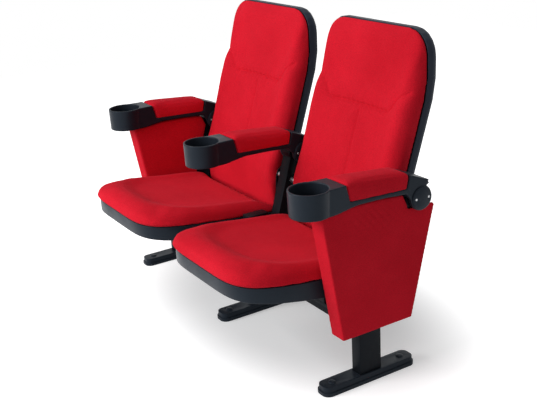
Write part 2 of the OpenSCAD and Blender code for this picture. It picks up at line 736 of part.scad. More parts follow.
module slide_rails() for (s = [-1, 1]) {
    slide_frame() translate([s * rail_x, rail_y0, runner_top - runner_h - run_gap - rail_wall])
        difference() {
            translate([-runner_w / 2 - run_gap - rail_wall, 0, 0])
                cube([runner_w + 2 * (run_gap + rail_wall), rail_l, runner_h - rail_wall]);
            translate([-runner_w / 2 - run_gap, -over, rail_wall])
                cube([runner_w + 2 * run_gap, rail_l + 2 * over, runner_h]);
        }
    for (y = [column_y0 - beam_s, column_y1])
        prism_x([[y, beam_z + beam_s], [y + beam_s, beam_z + beam_s],
            [y + beam_s, rail_floor(y + beam_s)], [y, rail_floor(y)]],
            s * rail_x - beam_s / 2, s * rail_x + beam_s / 2);
}
// Height of the underside of a rail along Y
function rail_floor(y) = line_z(y) + (runner_top - runner_h - run_gap - rail_wall)
    / cos(seat_slope);

// Backs: pins, frames, shells and cushions

module pivot_pins(s) {
    rod_x(pivot_r, pivot_y, pivot_z, -post_w / 2, post_w / 2);
    for (e = [-1, 1]) if (s == 0 || e == -s) translate([0, pivot_y, pivot_z])
        rotate([0, e * 90, 0]) {
            cylinder(r = pivot_r, h = head_x);
            translate([0, 0, post_w / 2])
                cylinder(r = pivot_shoulder_r, h = bracket_x - run_gap - post_w / 2);
            translate([0, 0, head_x]) cylinder(r = pivot_shoulder_r, h = pin_head_t);
        }
}

// Y of the line between cushion and shell at a height
function back_y(z) = z < bend_z ? bend_y - lean_t * (bend_z - z)
    : bend_y + lean_t * (min(z - bend_z, bend_h) - pow(min(z - bend_z, bend_h), 2) / (2 * bend_h));
// The foot of the back cushion is flat behind the seat and as deep as the gap allows
seat_top_z = line_z(seat_rear) + cushion_rear_h;
function foot_d(z) = max(shell_wall, back_y(z) - run_gap - seat_rear - foot_gap);
function cushion_d(z) = z < foot_z ? foot_d(z) + (back_depth - foot_d(foot_z))
        * max(0, (z - seat_top_z) / (foot_z - seat_top_z))
    : z < thin_z ? back_depth
    : lerp(back_depth, back_depth_top, (z - thin_z) / (back_top - thin_z));

// Outline of a back in X and Z, with points along its straight sides
side_steps = 8;
corner_steps = 5;
function back_corner(sx, top, k) = let (r = top ? back_top_r : back_low_r,
        a = 90 * k / corner_steps, z = top ? back_top - r : back_low + r)
    [sx * (back_hw - r + r * cos(a)), top ? z + r * sin(a) : z - r * sin(a)];
back_outline = concat(
    [for (k = [1:side_steps]) [back_hw, lerp(back_low + back_low_r, back_top - back_top_r,
        k / (side_steps + 1))]],
    [for (k = [0:corner_steps]) back_corner(1, true, k)],
    [[0, back_top]],
    [for (k = [corner_steps:-1:0]) back_corner(-1, true, k)],
    [for (k = [side_steps:-1:1]) [-back_hw, lerp(back_low + back_low_r, back_top - back_top_r,
        k / (side_steps + 1))]],
    [for (k = [0:corner_steps]) back_corner(-1, false, k)],
    [[0, back_low]],
    [for (k = [corner_steps:-1:0]) back_corner(1, false, k)]);
back_mid_z = (back_top + back_low) / 2;

// A loop of the back: inset share, distance from the shell line (front is negative)
function back_point(p, inset) = [p[0] * (1 - inset), back_mid_z + (p[1] - back_mid_z) * (1 - inset)];
function shell_loop(inset, d) = [for (p = back_outline) let (q = back_point(p, inset))
    [q[0], back_y(q[1]) + d, q[1]]];
shell_shares = [[0.86, 0], [0.5, 0], [0, 0], [0, 0.5], [0.012, 0.78], [0.04, 0.94], [0.09, 1],
    [0.5, 1], [0.86, 1]];
cavity_shares = [[0.86, -0.2], [0.5, -0.2], [0, -0.2], [0, 0.45], [0.014, 0.72], [0.045, 0.88],
    [0.1, 0.9], [0.5, 0.9], [0.86, 0.9]];
wall_share = shell_wall / back_hw;
function turned(l) = [for (k = [len(l) - 1:-1:0]) l[k]];

module back_shell() difference() {
    loft([for (s = turned(shell_shares)) shell_loop(s[0], s[1] * shell_d)]);
    loft([for (s = turned(cavity_shares)) shell_loop(wall_share + s[0], s[1] * shell_d)]);
    for (s = [-1, 1]) translate([s * back_hw - tube_s, stub_y - tube_s / 2 - run_gap,
        stub_z - tube_s / 2 - run_gap])
        cube([2 * tube_s, tube_s + 2 * run_gap, tube_s + 2 * run_gap]);
}

cushion_shares = [[0.88, 0, 0], [0.5, 0, 0], [0.01, 0, 0], [0, 0.3, 0], [0.004, 0.68, 0],
    [0.025, 0.9, 0], [0.065, 1, 0], [0.14, 1, 0.08], [0.28, 1, 0.45], [0.48, 1, 0.85],
    [0.7, 1, 1], [0.88, 1, 1]];
function cushion_loop(s) = [for (p = back_outline) let (q = back_point(p, s[0]),
        h = back_hollow * s[2] * (q[1] < thin_z ? 1 : lerp(1, 0.25, (q[1] - thin_z) / (back_top - thin_z))))
    [q[0], back_y(q[1]) - run_gap - cushion_d(q[1]) * s[1] + h, q[1]]];

module back_cushion() loft([for (s = cushion_shares) cushion_loop(s)]);

// Tubes of the frame run in the shell, a little behind the shell line
tube_back = shell_d * 0.42;
stub_y = back_y(stub_z) + tube_back;
bracket_in = half - bracket_x - bracket_t;
bracket_out = half - bracket_x;
eye_r = pivot_shoulder_r + bracket_t;

module back_frame() difference() {
    union() {
        for (s = [-1, 1]) {
            prism_x([for (p = [[low_tube_z, -1], [high_tube_z, -1], [high_tube_z, 1], [low_tube_z, 1]])
                [back_y(p[0]) + tube_back + p[1] * tube_s / 2, p[0]]],
                s * upright_x - tube_s / 2, s * upright_x + tube_s / 2);
            translate([s > 0 ? upright_x : -bracket_out, stub_y - tube_s / 2, stub_z - tube_s / 2])
                cube([bracket_out - upright_x, tube_s, tube_s]);
            x0 = s > 0 ? bracket_in : -bracket_out;
            prism_x([[stub_y - tube_s / 2, stub_z + tube_s / 2],
                [stub_y + tube_s / 2, stub_z + tube_s / 2],
                [stub_y + tube_s / 2, stub_z - tube_s / 2],
                [pivot_y + eye_r, pivot_z - eye_r / 2],
                [rod_y + 2 * rod_r, rod_z - 2 * rod_r], [rod_y - 2 * rod_r, rod_z - 2 * rod_r],
                [pivot_y - eye_r, pivot_z - eye_r / 2], [pivot_y - eye_r / 2, pivot_z + eye_r]],
                x0, x0 + bracket_t);
        }
        for (z = [low_tube_z, high_tube_z])
            translate([-upright_x, back_y(z) + tube_back - tube_s / 2, z - tube_s / 2])
                cube([2 * upright_x, tube_s, tube_s]);
        rod_x(rod_r, rod_y, rod_z, -bracket_out, bracket_out);
    }
    rod_x(pivot_r + pin_play, pivot_y, pivot_z, -half, half);
}

// One module for each part, in its own place and colour

module foot_plate_left() color(steel) at_x(side_l) foot_plate();
module foot_plate_middle() color(steel) at_x(0) foot_plate();
module foot_plate_right() color(steel) at_x(side_r) foot_plate();
module foot_cover_left() color(moulding) at_x(side_l) foot_cover();
module foot_cover_middle() color(moulding) at_x(0) foot_cover();
module foot_cover_right() color(moulding) at_x(side_r) foot_cover();
module anchor_nuts() color(zinc) for (s = [-1, 0, 1], e = [-1, 1])
    at_x(s * pitch) translate([0, foot_mid + e * anchor_span / 2, 0]) anchor_nut();
module anchor_plugs() color(moulding) for (s = [-1, 0, 1], e = [-1, 1])
    at_x(s * pitch) translate([0, foot_mid + e * anchor_span / 2, 0]) plug();
module column_left() color(steel) at_x(side_l) column();
module column_middle() color(steel) at_x(0) column();
module column_right() color(steel) at_x(side_r) column();
module post_left() color(steel) at_x(side_l) post();
module post_middle() color(steel) at_x(0) post();
module post_right() color(steel) at_x(side_r) post();
module beam_front() color(steel) at_x(0) beam(column_y0 - beam_s);
module beam_rear() color(steel) at_x(0) beam(column_y1);
module beam_bolts() color(zinc) for (s = [-1, 0, 1]) at_x(s * pitch) beam_bolt();
module panel_board_left() color(ply) at_x(side_l) mirror([1, 0, 0]) end_panel_board();
module panel_board_right() color(ply) at_x(side_r) end_panel_board();
module panel_cover_left() color(cloth) at_x(side_l) mirror([1, 0, 0]) end_panel_cover();
module panel_cover_right() color(cloth) at_x(side_r) end_panel_cover();
module arm_body_left() color(moulding) at_x(side_l) arm_body();
module arm_body_middle() color(moulding) at_x(0) arm_body();
module arm_body_right() color(moulding) at_x(side_r) arm_body();
module pad_board_left() color(ply) at_x(side_l) pad_board();
module pad_board_middle() color(ply) at_x(0) pad_board();
module pad_board_right() color(ply) at_x(side_r) pad_board();
module pad_cover_left() color(cloth) at_x(side_l) pad_cover();
module pad_cover_middle() color(cloth) at_x(0) pad_cover();
module pad_cover_right() color(cloth) at_x(side_r) pad_cover();
module hub_pin_left() color(zinc) at_x(side_l) hub_pin();
module hub_pin_middle() color(zinc) at_x(0) hub_pin();
module hub_pin_right() color(zinc) at_x(side_r) hub_pin();
module hub_caps_left() color(moulding) at_x(side_l) hub_caps();
module hub_caps_middle() color(moulding) at_x(0) hub_caps();
module hub_caps_right() color(moulding) at_x(side_r) hub_caps();
module cap_screws_left() color(zinc) at_x(side_l) cap_screws();
module cap_screws_middle() color(zinc) at_x(0) cap_screws();
module cap_screws_right() color(zinc) at_x(side_r) cap_screws();
module slide_rails_left() color(steel) at_x(-half) slide_rails();
module slide_rails_right() color(steel) at_x(half) slide_rails();
module carriage_left() color(steel) at_x(-half) carriage();
module carriage_right() color(steel) at_x(half) carriage();
module seat_pan_left() color(moulding) at_x(-half) seat_pan();
module seat_pan_right() color(moulding) at_x(half) seat_pan();
module seat_cushion_left() color(cloth) at_x(-half) seat_cushion();
module seat_cushion_right() color(cloth) at_x(half) seat_cushion();
module pivot_pins_left() color(zinc) at_x(side_l) pivot_pins(-1);
module pivot_pins_middle() color(zinc) at_x(0) pivot_pins(0);
module pivot_pins_right() color(zinc) at_x(side_r) pivot_pins(1);
module back_frame_left() color(steel) at_x(-half) back_frame();
module back_frame_right() color(steel) at_x(half) back_frame();
module back_shell_left() color(moulding) at_x(-half) back_shell();
module back_shell_right() color(moulding) at_x(half) back_shell();
module back_cushion_left() color(cloth) at_x(-half) back_cushion();
module back_cushion_right() color(cloth) at_x(half) back_cushion();

foot_plate_left();
foot_plate_middle();
foot_plate_right();
foot_cover_left();
foot_cover_middle();
foot_cover_right();
anchor_nuts();
anchor_plugs();
column_left();
column_middle();
column_right();
post_left();
post_middle();
post_right();
beam_front();
beam_rear();
beam_bolts();
panel_board_left();
panel_board_right();
panel_cover_left();
panel_cover_right();
arm_body_left();
arm_body_middle();
arm_body_right();
pad_board_left();
pad_board_middle();
pad_board_right();
pad_cover_left();
pad_cover_middle();
pad_cover_right();
hub_pin_left();
hub_pin_middle();
hub_pin_right();
hub_caps_left();
hub_caps_middle();
hub_caps_right();
cap_screws_left();
cap_screws_middle();
cap_screws_right();
slide_rails_left();
slide_rails_right();
carriage_left();
carriage_right();
seat_pan_left();
seat_pan_right();
seat_cushion_left();
seat_cushion_right();
pivot_pins_left();
pivot_pins_middle();
pivot_pins_right();
back_frame_left();
back_frame_right();
back_shell_left();
back_shell_right();
back_cushion_left();
back_cushion_right();
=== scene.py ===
# %% [markdown]
# A joined pair of cinema seats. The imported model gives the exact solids: feet,
# columns, posts, beams, slides, arms, seats and backs. This script dresses them:
# it pads the cushions, rounds the mouldings, and gives each piece its finish.
# Everything is in metres, Z is up, and the seats face -Y.

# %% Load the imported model
import json
import math

import bmesh
import bpy
import numpy as np
from mathutils import Matrix, Vector

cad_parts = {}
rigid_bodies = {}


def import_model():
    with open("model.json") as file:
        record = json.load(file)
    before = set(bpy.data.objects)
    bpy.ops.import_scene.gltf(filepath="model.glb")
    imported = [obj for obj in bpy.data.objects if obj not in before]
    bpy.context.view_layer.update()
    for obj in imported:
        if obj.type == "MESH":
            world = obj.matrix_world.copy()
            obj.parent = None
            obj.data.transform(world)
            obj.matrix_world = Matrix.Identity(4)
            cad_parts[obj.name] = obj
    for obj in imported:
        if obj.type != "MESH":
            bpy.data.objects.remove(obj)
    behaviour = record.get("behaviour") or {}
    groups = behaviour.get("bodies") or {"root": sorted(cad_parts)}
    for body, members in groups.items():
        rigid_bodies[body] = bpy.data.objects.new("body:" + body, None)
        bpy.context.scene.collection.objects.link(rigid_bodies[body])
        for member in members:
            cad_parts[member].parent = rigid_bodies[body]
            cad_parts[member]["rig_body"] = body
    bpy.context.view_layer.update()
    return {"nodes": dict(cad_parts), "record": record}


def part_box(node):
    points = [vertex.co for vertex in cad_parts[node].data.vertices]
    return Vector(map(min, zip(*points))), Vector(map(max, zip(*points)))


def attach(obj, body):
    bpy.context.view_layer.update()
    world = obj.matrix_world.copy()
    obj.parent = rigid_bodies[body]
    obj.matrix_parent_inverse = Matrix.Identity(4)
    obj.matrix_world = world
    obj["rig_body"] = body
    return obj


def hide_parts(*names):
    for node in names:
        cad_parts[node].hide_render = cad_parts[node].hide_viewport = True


for leftover in list(bpy.data.objects):
    bpy.data.objects.remove(leftover)
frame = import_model()
scene = bpy.context.scene
ROW_SIDES = ("left", "middle", "right")
SEAT_SIDES = ("left", "right")

# %% [markdown]
# The rest of the script needs a few landmarks. They are read from the boxes of
# the CAD nodes, so that they follow the part when it is repacked.

# %% Landmarks


def middle_of(node):
    low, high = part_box(node)
    return (low + high) / 2


PITCH = middle_of("column_right").x - middle_of("column_middle").x
BACK_X = {side: middle_of("back_cushion_" + side).x for side in SEAT_SIDES}
SEATS_APART = BACK_X["right"] - BACK_X["left"]
CUP_RADIUS = 0.0575
CUP_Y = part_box("arm_body_middle")[0].y + CUP_RADIUS
print("pitch", round(PITCH, 3), "backs at", {k: round(v, 3) for k, v in BACK_X.items()})

# %% [markdown]
# The photograph was taken from the right of the seats and from above. The camera
# is set by its place, the way it turns and tilts, and a small roll. Its depth is
# counted from the axis of the cup holders, like the depths of the real parts.

# %% The camera
CAMERA_PLACE = Vector((2.46030, CUP_Y - 1.25953, 1.40392))
CAMERA_TURN = math.radians(58.864)
CAMERA_TILT = math.radians(20.065)
CAMERA_ROLL = math.radians(-3.277)
LENS_MM = 62.281
SENSOR_MM = 36

backward = Vector((math.sin(CAMERA_TURN) * math.cos(CAMERA_TILT),
                   -math.cos(CAMERA_TURN) * math.cos(CAMERA_TILT),
                   math.sin(CAMERA_TILT)))
level = Vector((0, 0, 1)).cross(backward).normalized()
upright = backward.cross(level)
rightward = math.cos(CAMERA_ROLL) * level + math.sin(CAMERA_ROLL) * upright
upward = -math.sin(CAMERA_ROLL) * level + math.cos(CAMERA_ROLL) * upright

camera = bpy.data.objects.new("photo_camera", bpy.data.cameras.new("photo_camera"))
scene.collection.objects.link(camera)
camera.data.lens = LENS_MM
camera.data.sensor_width = SENSOR_MM
axes = Matrix((rightward, upward, backward)).transposed()
camera.matrix_world = Matrix.Translation(CAMERA_PLACE) @ axes.to_4x4()
scene.camera = camera
print("camera at", [round(v, 2) for v in camera.location])

# %% [markdown]
# A studio shot has a white ground that runs out to white. The world is white only
# where the camera or a reflection sees it; its light on the seats is much weaker.

# %% World
SKY_LIGHT = 0.24


def seen_directly(tree):
    """1 for rays from the camera, from a reflection or through glass, else 0."""
    rays = tree.nodes.new("ShaderNodeLightPath")
    result = rays.outputs["Is Camera Ray"]
    for kind in ("Is Glossy Ray", "Is Transmission Ray"):
        larger = tree.nodes.new("ShaderNodeMath")
        larger.operation = "MAXIMUM"
        tree.links.new(result, larger.inputs[0])
        tree.links.new(rays.outputs[kind], larger.inputs[1])
        result = larger.outputs[0]
    return result


world = bpy.data.worlds.new("studio")
world.use_nodes = True
scene.world = world
scene.view_settings.view_transform = "Standard"
sky = world.node_tree
sky.nodes.clear()
lit = sky.nodes.new("ShaderNodeBackground")
lit.inputs["Strength"].default_value = SKY_LIGHT
white = sky.nodes.new("ShaderNodeBackground")
white.inputs["Strength"].default_value = 1.0
white.inputs["Color"].default_value = (1, 1, 1, 1)
choose = sky.nodes.new("ShaderNodeMixShader")
sky_out = sky.nodes.new("ShaderNodeOutputWorld")
sky.links.new(seen_directly(sky), choose.inputs["Fac"])
sky.links.new(lit.outputs[0], choose.inputs[1])
sky.links.new(white.outputs[0], choose.inputs[2])
sky.links.new(choose.outputs[0], sky_out.inputs["Surface"])
print("sky light", SKY_LIGHT)

# %% [markdown]
# The floor is pale paper and keeps the shadow. Where the camera sees it directly
# it gets a little light of its own, which grows with the distance from the seats,
# so that the paper runs out to the world's white and no horizon shows. The glow is weakest in
# an oval round the seats, which paints shade on the floor under them.

# %% Floor
FLOOR_SIZE = 9.0
FLOOR_GLOW = 0.20
GLOW_SHAPE = (0.80, 1.40, 1.0)
GLOW_SHIFT = (-0.05, -0.14, 0.0)
GLOW_NEAR = 0.30
GLOW_FAR = 0.85
floor_mesh = bpy.data.meshes.new("studio_floor")
shape = bmesh.new()
bmesh.ops.create_grid(shape, x_segments=8, y_segments=8, size=FLOOR_SIZE / 2)
shape.to_mesh(floor_mesh)
shape.free()
floor = bpy.data.objects.new("studio_floor", floor_mesh)
scene.collection.objects.link(floor)
floor_material = bpy.data.materials.new("studio_floor")
floor_material.use_nodes = True
ground = floor_material.node_tree
ground.nodes.clear()
paper = ground.nodes.new("ShaderNodeBsdfDiffuse")
paper.inputs["Color"].default_value = (0.88, 0.88, 0.89, 1)
glow = ground.nodes.new("ShaderNodeEmission")
floor_place = ground.nodes.new("ShaderNodeTexCoord")
# Painted shade: the glow is lowest inside this oval round the seats, so the floor there is
# darker than the lamps alone make it.
painted_shade_oval = ground.nodes.new("ShaderNodeVectorMath")
painted_shade_oval.operation = "MULTIPLY_ADD"
painted_shade_oval.inputs[1].default_value = GLOW_SHAPE
painted_shade_oval.inputs[2].default_value = GLOW_SHIFT
distance = ground.nodes.new("ShaderNodeVectorMath")
distance.operation = "LENGTH"
rising = ground.nodes.new("ShaderNodeMapRange")
rising.interpolation_type = "SMOOTHSTEP"
rising.inputs["From Min"].default_value = GLOW_NEAR
rising.inputs["From Max"].default_value = GLOW_FAR
rising.inputs["To Min"].default_value = FLOOR_GLOW
rising.inputs["To Max"].default_value = 1.0
glow_level = ground.nodes.new("ShaderNodeMath")
glow_level.operation = "MULTIPLY"
both = ground.nodes.new("ShaderNodeAddShader")
floor_out = ground.nodes.new("ShaderNodeOutputMaterial")
ground.links.new(floor_place.outputs["Object"], painted_shade_oval.inputs[0])
ground.links.new(painted_shade_oval.outputs[0], distance.inputs[0])
ground.links.new(distance.outputs["Value"], rising.inputs["Value"])
ground.links.new(seen_directly(ground), glow_level.inputs[0])
ground.links.new(rising.outputs["Result"], glow_level.inputs[1])
ground.links.new(glow_level.outputs[0], glow.inputs["Strength"])
ground.links.new(paper.outputs[0], both.inputs[0])
ground.links.new(glow.outputs[0], both.inputs[1])
ground.links.new(both.outputs[0], floor_out.inputs["Surface"])
floor_mesh.materials.append(floor_material)
print("floor", FLOOR_SIZE, "m square")

# %% [markdown]
# The fronts of the backs are the brightest faces in the photograph, the seats
# are darker, and the outer side panel darkest. So the main light is large and
# soft, in front of the seats and a little towards the left one.

# %% Lamps
SEATS_MIDDLE = Vector((0, 0, 0.5))


def soft_lamp(name, place, size, watts, tint=(1, 1, 1)):
    lamp = bpy.data.lights.new(name, "AREA")
    lamp.shape = "RECTANGLE"
    lamp.size, lamp.size_y = size
    lamp.energy = watts
    lamp.color = tint
    holder = bpy.data.objects.new(name, lamp)
    scene.collection.objects.link(holder)
    holder.location = place
    toward = SEATS_MIDDLE - Vector(place)
    holder.rotation_euler = toward.to_track_quat("-Z", "Y").to_euler()
    return holder


soft_lamp("front_softbox", (-0.5, -3.4, 2.2), (2.4, 1.8), 130)
soft_lamp("side_fill", (3.4, -1.2, 1.9), (2.0, 1.6), 9)
soft_lamp("top_softbox", (0.2, 0.6, 3.4), (2.6, 2.6), 18)
print("three lamps")

# %% [markdown]
# Finishes. Each one is a small network of nodes on one Principled shader: a slow
# change of colour, a fine one, a roughness that varies, and a bump at the size of
# the real texture. Positions are the object's own metres, so no UVs are needed.

# %% Helpers for finishes


def start_finish(name):
    material = bpy.data.materials.new(name)
    material.use_nodes = True
    tree = material.node_tree
    place = tree.nodes.new("ShaderNodeTexCoord")
    return material, tree, tree.nodes["Principled BSDF"], place.outputs["Object"]


def speckle(tree, place, scale, detail=2.0, stretch=(1, 1, 1)):
    """Noise from 0 to 1, `scale` blobs to the metre."""
    spread = tree.nodes.new("ShaderNodeMapping")
    spread.inputs["Scale"].default_value = stretch
    blobs = tree.nodes.new("ShaderNodeTexNoise")
    blobs.inputs["Scale"].default_value = scale
    blobs.inputs["Detail"].default_value = detail
    tree.links.new(place, spread.inputs["Vector"])
    tree.links.new(spread.outputs["Vector"], blobs.inputs["Vector"])
    return blobs.outputs["Fac"]


def between(tree, amount, low_colour, high_colour, start=0.3, end=0.7):
    """A ramp of two colours over part of the noise."""
    ramp = tree.nodes.new("ShaderNodeValToRGB")
    ramp.color_ramp.elements[0].position = start
    ramp.color_ramp.elements[1].position = end
    ramp.color_ramp.elements[0].color = (*low_colour, 1)
    ramp.color_ramp.elements[1].color = (*high_colour, 1)
    tree.links.new(amount, ramp.inputs["Fac"])
    return ramp.outputs["Color"]


def level_between(tree, amount, low, high):
    """Noise turned into a value from low to high."""
    span = tree.nodes.new("ShaderNodeMapRange")
    span.inputs["From Min"].default_value = 0.25
    span.inputs["From Max"].default_value = 0.75
    span.inputs["To Min"].default_value = low
    span.inputs["To Max"].default_value = high
    tree.links.new(amount, span.inputs["Value"])
    return span.outputs["Result"]


def blend_colours(tree, first, second, amount, mode="MIX"):
    mix = tree.nodes.new("ShaderNodeMix")
    mix.data_type = "RGBA"
    mix.blend_type = mode
    if isinstance(amount, float):
        mix.inputs[0].default_value = amount
    else:
        tree.links.new(amount, mix.inputs[0])
    tree.links.new(first, mix.inputs[6])
    if isinstance(second, tuple):
        mix.inputs[7].default_value = (*second, 1)
    else:
        tree.links.new(second, mix.inputs[7])
    return mix.outputs[2]


def roughen(tree, shader, height, depth, strength=1.0, under=None):
    """A bump of `depth` metres on the shader, over another bump if there is one."""
    bump = tree.nodes.new("ShaderNodeBump")
    bump.inputs["Distance"].default_value = depth
    bump.inputs["Strength"].default_value = strength
    tree.links.new(height, bump.inputs["Height"])
    if under is not None:
        tree.links.new(under, bump.inputs["Normal"])
    tree.links.new(bump.outputs["Normal"], shader.inputs["Normal"])
    return bump.outputs["Normal"]


print("helpers ready")

# %% [markdown]
# The seats wear a short dense pile, as cinema seats do, because it hides wear and
# drinks sound. Up close it is a field of tufts about a millimetre across. Brushed
# patches are a little lighter, and the tips catch light at a low angle: sheen.

# %% Red pile cloth
cloth_red, tree, shader, place = start_finish("red_pile_cloth")
patches = speckle(tree, place, 5.0, 3.0)
brushed = between(tree, patches, (0.60, 0.0080, 0.021), (0.71, 0.0115, 0.028))
threads = speckle(tree, place, 420.0, 2.0)
thread_shade = between(tree, threads, (0.78, 0.74, 0.76), (1.0, 1.0, 1.0), 0.32, 0.62)
tree.links.new(blend_colours(tree, brushed, thread_shade, 1.0, "MULTIPLY"),
               shader.inputs["Base Color"])
tree.links.new(level_between(tree, speckle(tree, place, 30.0), 0.78, 0.92),
               shader.inputs["Roughness"])
tufts = tree.nodes.new("ShaderNodeTexVoronoi")
tufts.inputs["Scale"].default_value = 900.0
tree.links.new(place, tufts.inputs["Vector"])
weave = roughen(tree, shader, tufts.outputs["Distance"], 0.0004, 0.55)
roughen(tree, shader, threads, 0.0006, 0.35, under=weave)
shader.inputs["Sheen Weight"].default_value = 0.10
shader.inputs["Sheen Roughness"].default_value = 0.40
shader.inputs["Sheen Tint"].default_value = (1.0, 0.22, 0.30, 1)
shader.inputs["Specular IOR Level"].default_value = 0.08
print("cloth finish made")

# %% [markdown]
# Arms, cup holders and caps are injection moulded: black, satin, with the fine
# grain that the spark-eroded mould leaves. Hands polish the convex edges, so the
# colour lifts a little there, which Pointiness finds from the mesh.

# %% Black mouldings


def moulded(name, dark, light, rub, smooth_low, smooth_high, grain):
    material, tree, shader, place = start_finish(name)
    body = between(tree, speckle(tree, place, 9.0, 3.0), dark, light)
    shape_of = tree.nodes.new("ShaderNodeNewGeometry")
    edge = tree.nodes.new("ShaderNodeMapRange")
    edge.inputs["From Min"].default_value = 0.52
    edge.inputs["From Max"].default_value = 0.60
    edge.inputs["To Max"].default_value = 0.55
    tree.links.new(shape_of.outputs["Pointiness"], edge.inputs["Value"])
    tree.links.new(blend_colours(tree, body, rub, edge.outputs["Result"]),
                   shader.inputs["Base Color"])
    tree.links.new(level_between(tree, speckle(tree, place, 40.0, 4.0),
                                 smooth_low, smooth_high), shader.inputs["Roughness"])
    roughen(tree, shader, speckle(tree, place, grain, 3.0), 0.00012, 0.5)
    shader.inputs["Specular IOR Level"].default_value = 0.13
    shader.inputs["Specular Tint"].default_value = (0.70, 0.86, 1.0, 1)
    return material


arm_black = moulded("black_grained_moulding", (0.0100, 0.0132, 0.0190),
                    (0.0150, 0.0195, 0.0270), (0.026, 0.033, 0.043), 0.34, 0.44, 1300.0)
shell_black = moulded("slate_black_moulding", (0.0150, 0.0180, 0.0290),
                      (0.0210, 0.0250, 0.0380), (0.032, 0.038, 0.052), 0.42, 0.52, 1100.0)
print("two mouldings made")

# %% [markdown]
# The standards and everything under the seats are steel with a black powder coat,
# which dries with a soft orange-peel surface.

# %% Powder-coated steel
coat_black, tree, shader, place = start_finish("black_powder_coat")
tree.links.new(between(tree, speckle(tree, place, 14.0, 3.0), (0.0038, 0.0045, 0.0062),
                       (0.0065, 0.0078, 0.0102)), shader.inputs["Base Color"])
tree.links.new(level_between(tree, speckle(tree, place, 70.0, 3.0), 0.42, 0.54),
               shader.inputs["Roughness"])
roughen(tree, shader, speckle(tree, place, 520.0, 2.0), 0.0002, 0.45)
shader.inputs["Specular IOR Level"].default_value = 0.08
shader.inputs["Specular Tint"].default_value = (0.78, 0.90, 1.0, 1)
print("powder coat made")

# %% [markdown]
# Pins, screws, nuts and bolts are zinc plated: a grey metal with faint turning
# marks and a patchy passivated tint.

# %% Zinc
zinc, tree, shader, place = start_finish("zinc_plate")
tree.links.new(between(tree, speckle(tree, place, 160.0, 3.0), (0.42, 0.43, 0.45),
                       (0.60, 0.61, 0.62)), shader.inputs["Base Color"])
tree.links.new(level_between(tree, speckle(tree, place, 300.0, 2.0), 0.26, 0.42),
               shader.inputs["Roughness"])
shader.inputs["Metallic"].default_value = 1.0
roughen(tree, shader, speckle(tree, place, 900.0, 2.0, (0.1, 1, 1)), 0.00008, 0.5)
print("zinc made")

# %% [markdown]
# The boards under the cloth are plywood: long pale grain with darker streaks.

# %% Plywood
plywood, tree, shader, place = start_finish("birch_plywood")
streaks = speckle(tree, place, 26.0, 5.0, (1, 0.16, 1.6))
tree.links.new(between(tree, streaks, (0.36, 0.21, 0.095), (0.60, 0.41, 0.21)),
               shader.inputs["Base Color"])
tree.links.new(level_between(tree, streaks, 0.55, 0.75), shader.inputs["Roughness"])
roughen(tree, shader, streaks, 0.0003, 0.4)
print("plywood made")

# %% [markdown]
# Each CAD node keeps its shape and gets the finish of its own kind of piece.

# %% Finishes on the CAD nodes
FINISH_OF_SLOT = {"red_cloth": cloth_red, "black_moulding": arm_black,
                  "shell_moulding": shell_black, "black_steel": coat_black,
                  "zinc_steel": zinc, "plywood": plywood}
SLOT_OF_NODE = {part["node"]: part["material_slot"] for part in frame["record"]["subparts"]}


def wear(piece, finish):
    """Gives a piece one finish in place of what it had."""
    piece.data.materials.clear()
    piece.data.materials.append(finish)


for node, solid in frame["nodes"].items():
    wear(solid, FINISH_OF_SLOT[SLOT_OF_NODE[node]])
print(len(frame["nodes"]), "CAD nodes have a finish")

# %% [markdown]
# Every dressed piece starts as a copy of its CAD solid, so that it sits exactly
# where the solid does. The copy is welded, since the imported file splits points
# along sharp edges, and its triangles are joined back into larger faces.

# %% Copy a solid
WELD = 2e-6
JOIN_ANGLE = 0.6
FINE_JOIN_ANGLE = 0.05


def copy_of(node, name, join_angle=JOIN_ANGLE):
    """A welded copy of a CAD node that rides its body and stands for it."""
    solid = frame["nodes"][node]
    mesh = solid.data.copy()
    mesh.name = name
    shape = bmesh.new()
    shape.from_mesh(mesh)
    bmesh.ops.remove_doubles(shape, verts=shape.verts, dist=WELD)
    bmesh.ops.dissolve_limit(shape, angle_limit=math.radians(join_angle),
                             verts=shape.verts, edges=shape.edges)
    shape.to_mesh(mesh)
    shape.free()
    piece = bpy.data.objects.new(name, mesh)
    scene.collection.objects.link(piece)
    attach(piece, solid["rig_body"])
    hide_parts(node)
    return piece


def settle(piece):
    """Turns a piece's modifiers into its mesh."""
    bpy.context.view_layer.update()
    finished = piece.evaluated_get(bpy.context.evaluated_depsgraph_get())
    mesh = bpy.data.meshes.new_from_object(finished)
    old = piece.data
    piece.modifiers.clear()
    piece.data = mesh
    mesh.name = piece.name
    bpy.data.meshes.remove(old)
    return piece


def smooth_shading(piece, angle=180):
    piece.data.shade_smooth()
    if angle < 180:
        piece.data.set_sharp_from_angle(angle=math.radians(angle))


print("copy helpers ready")

# %% [markdown]
# Steel tube, plates and machined parts have small round edges that catch a line
# of light. A Bevel modifier puts one on each sharp edge, never wider than the
# real edge, and the shading stays flat between them.

# %% Steel and small parts with rounded edges
STEEL_EDGE_ANGLE = 35
SHARP_ANGLE = 32


def round_edges(piece, width, steps=2, angle=STEEL_EDGE_ANGLE):
    bevel = piece.modifiers.new("edge", "BEVEL")
    bevel.width = width
    bevel.segments = steps
    bevel.limit_method = "ANGLE"
    bevel.angle_limit = math.radians(angle)
    bevel.use_clamp_overlap = True
    settle(piece)
    smooth_shading(piece, SHARP_ANGLE)
    return piece


EDGE_OF = {"column_": 0.0035, "post_": 0.0025, "foot_plate_": 0.0008,
           "slide_rails_": 0.0008, "carriage_": 0.0008, "back_frame_": 0.0012,
           "hub_caps_": 0.0012, "beam_front": 0.0012, "beam_rear": 0.0012}
rounded = []
for start, width in EDGE_OF.items():
    for node in sorted(n for n in frame["nodes"] if n.startswith(start)):
        piece = round_edges(copy_of(node, node + "_rounded"), width)
        wear(piece, FINISH_OF_SLOT[SLOT_OF_NODE[node]])
        rounded.append(piece)
print(len(rounded), "steel and small parts with round edges")

